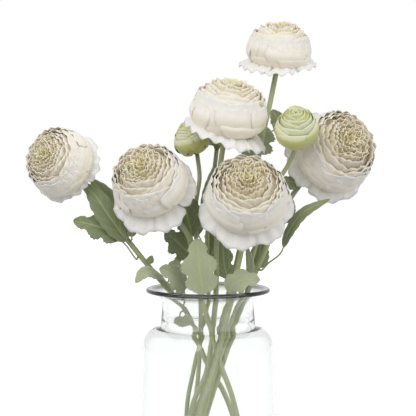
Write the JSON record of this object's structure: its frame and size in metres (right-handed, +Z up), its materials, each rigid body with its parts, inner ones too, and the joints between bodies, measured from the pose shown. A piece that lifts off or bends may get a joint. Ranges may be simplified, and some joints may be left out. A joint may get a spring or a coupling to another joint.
{
  "type": "ranunculus flowers in a vase",
  "caption": "Ranunculus blooms and buds with toothed leaves on crossing stems, standing in a clear glass vase with a flared lip and short neck.",
  "frame": {"origin": "centre of the vase's foot, on the surface it stands on", "axes": "+Z up; -Y towards the viewer, the side that most blooms face; +X to the viewer's right"},
  "size_m": [0.3316, 0.1548, 0.5028],
  "materials": {
    "vase_glass": "gloss",
    "petal_ivory": "matte",
    "petal_white": "matte",
    "petal_bud": "matte",
    "sepal_olive": "matte",
    "stem_green": "matte",
    "leaf_green": "matte",
    "leaf_sage": "matte"
  },
  "bodies": {
    "root": {"vase": "vase_glass", "stem_left": "stem_green", "sepals_left": "sepal_olive", "stem_mid_left": "stem_green", "sepals_mid_left": "sepal_olive", "stem_top_centre": "stem_green", "sepals_top_centre": "sepal_olive", "stem_top_right": "stem_green", "sepals_top_right": "sepal_olive", "stem_front": "stem_green", "sepals_front": "sepal_olive", "stem_right": "stem_green", "sepals_right": "sepal_olive", "stem_bud_left": "stem_green", "sepals_bud_left": "sepal_olive", "stem_bud_right": "stem_green", "sepals_bud_right": "sepal_olive", "stem_bud_back": "stem_green", "sepals_bud_back": "sepal_olive", "petals_left": "petal_ivory", "guard_petals_left": "petal_white", "petals_mid_left": "petal_ivory", "guard_petals_mid_left": "petal_white", "petals_top_centre": "petal_ivory", "guard_petals_top_centre": "petal_white", "petals_top_right": "petal_ivory", "guard_petals_top_right": "petal_white", "petals_front": "petal_ivory", "guard_petals_front": "petal_white", "petals_right": "petal_ivory", "guard_petals_right": "petal_white", "petals_bud_left": "petal_bud", "petals_bud_right": "petal_bud", "petals_bud_back": "petal_bud", "leaf_left_long": "leaf_green", "leaf_left_dark": "leaf_green", "leaf_left_lobed": "leaf_green", "leaf_left_small": "leaf_green", "leaf_left_tiny": "leaf_green", "leaf_centre_dark": "leaf_green", "leaf_centre_low": "leaf_green", "leaf_centre_tall": "leaf_green", "leaf_middle_back": "leaf_green", "leaf_middle_dark": "leaf_green", "leaf_lip_left": "leaf_sage", "leaf_sage_front": "leaf_sage", "leaf_sage_left": "leaf_sage", "leaf_sage_small": "leaf_sage", "leaf_lip_right": "leaf_sage", "leaf_silver": "leaf_sage", "leaf_right_low": "leaf_green", "leaf_back_pale": "leaf_sage", "leaf_back_dark": "leaf_green", "leaf_right_small": "leaf_green", "leaf_right_dark": "leaf_green", "leaf_right_long": "leaf_green", "leaf_in_neck": "leaf_sage", "leaf_back_left": "leaf_green", "leaf_back_right": "leaf_green"}
  },
  "joints": []
}
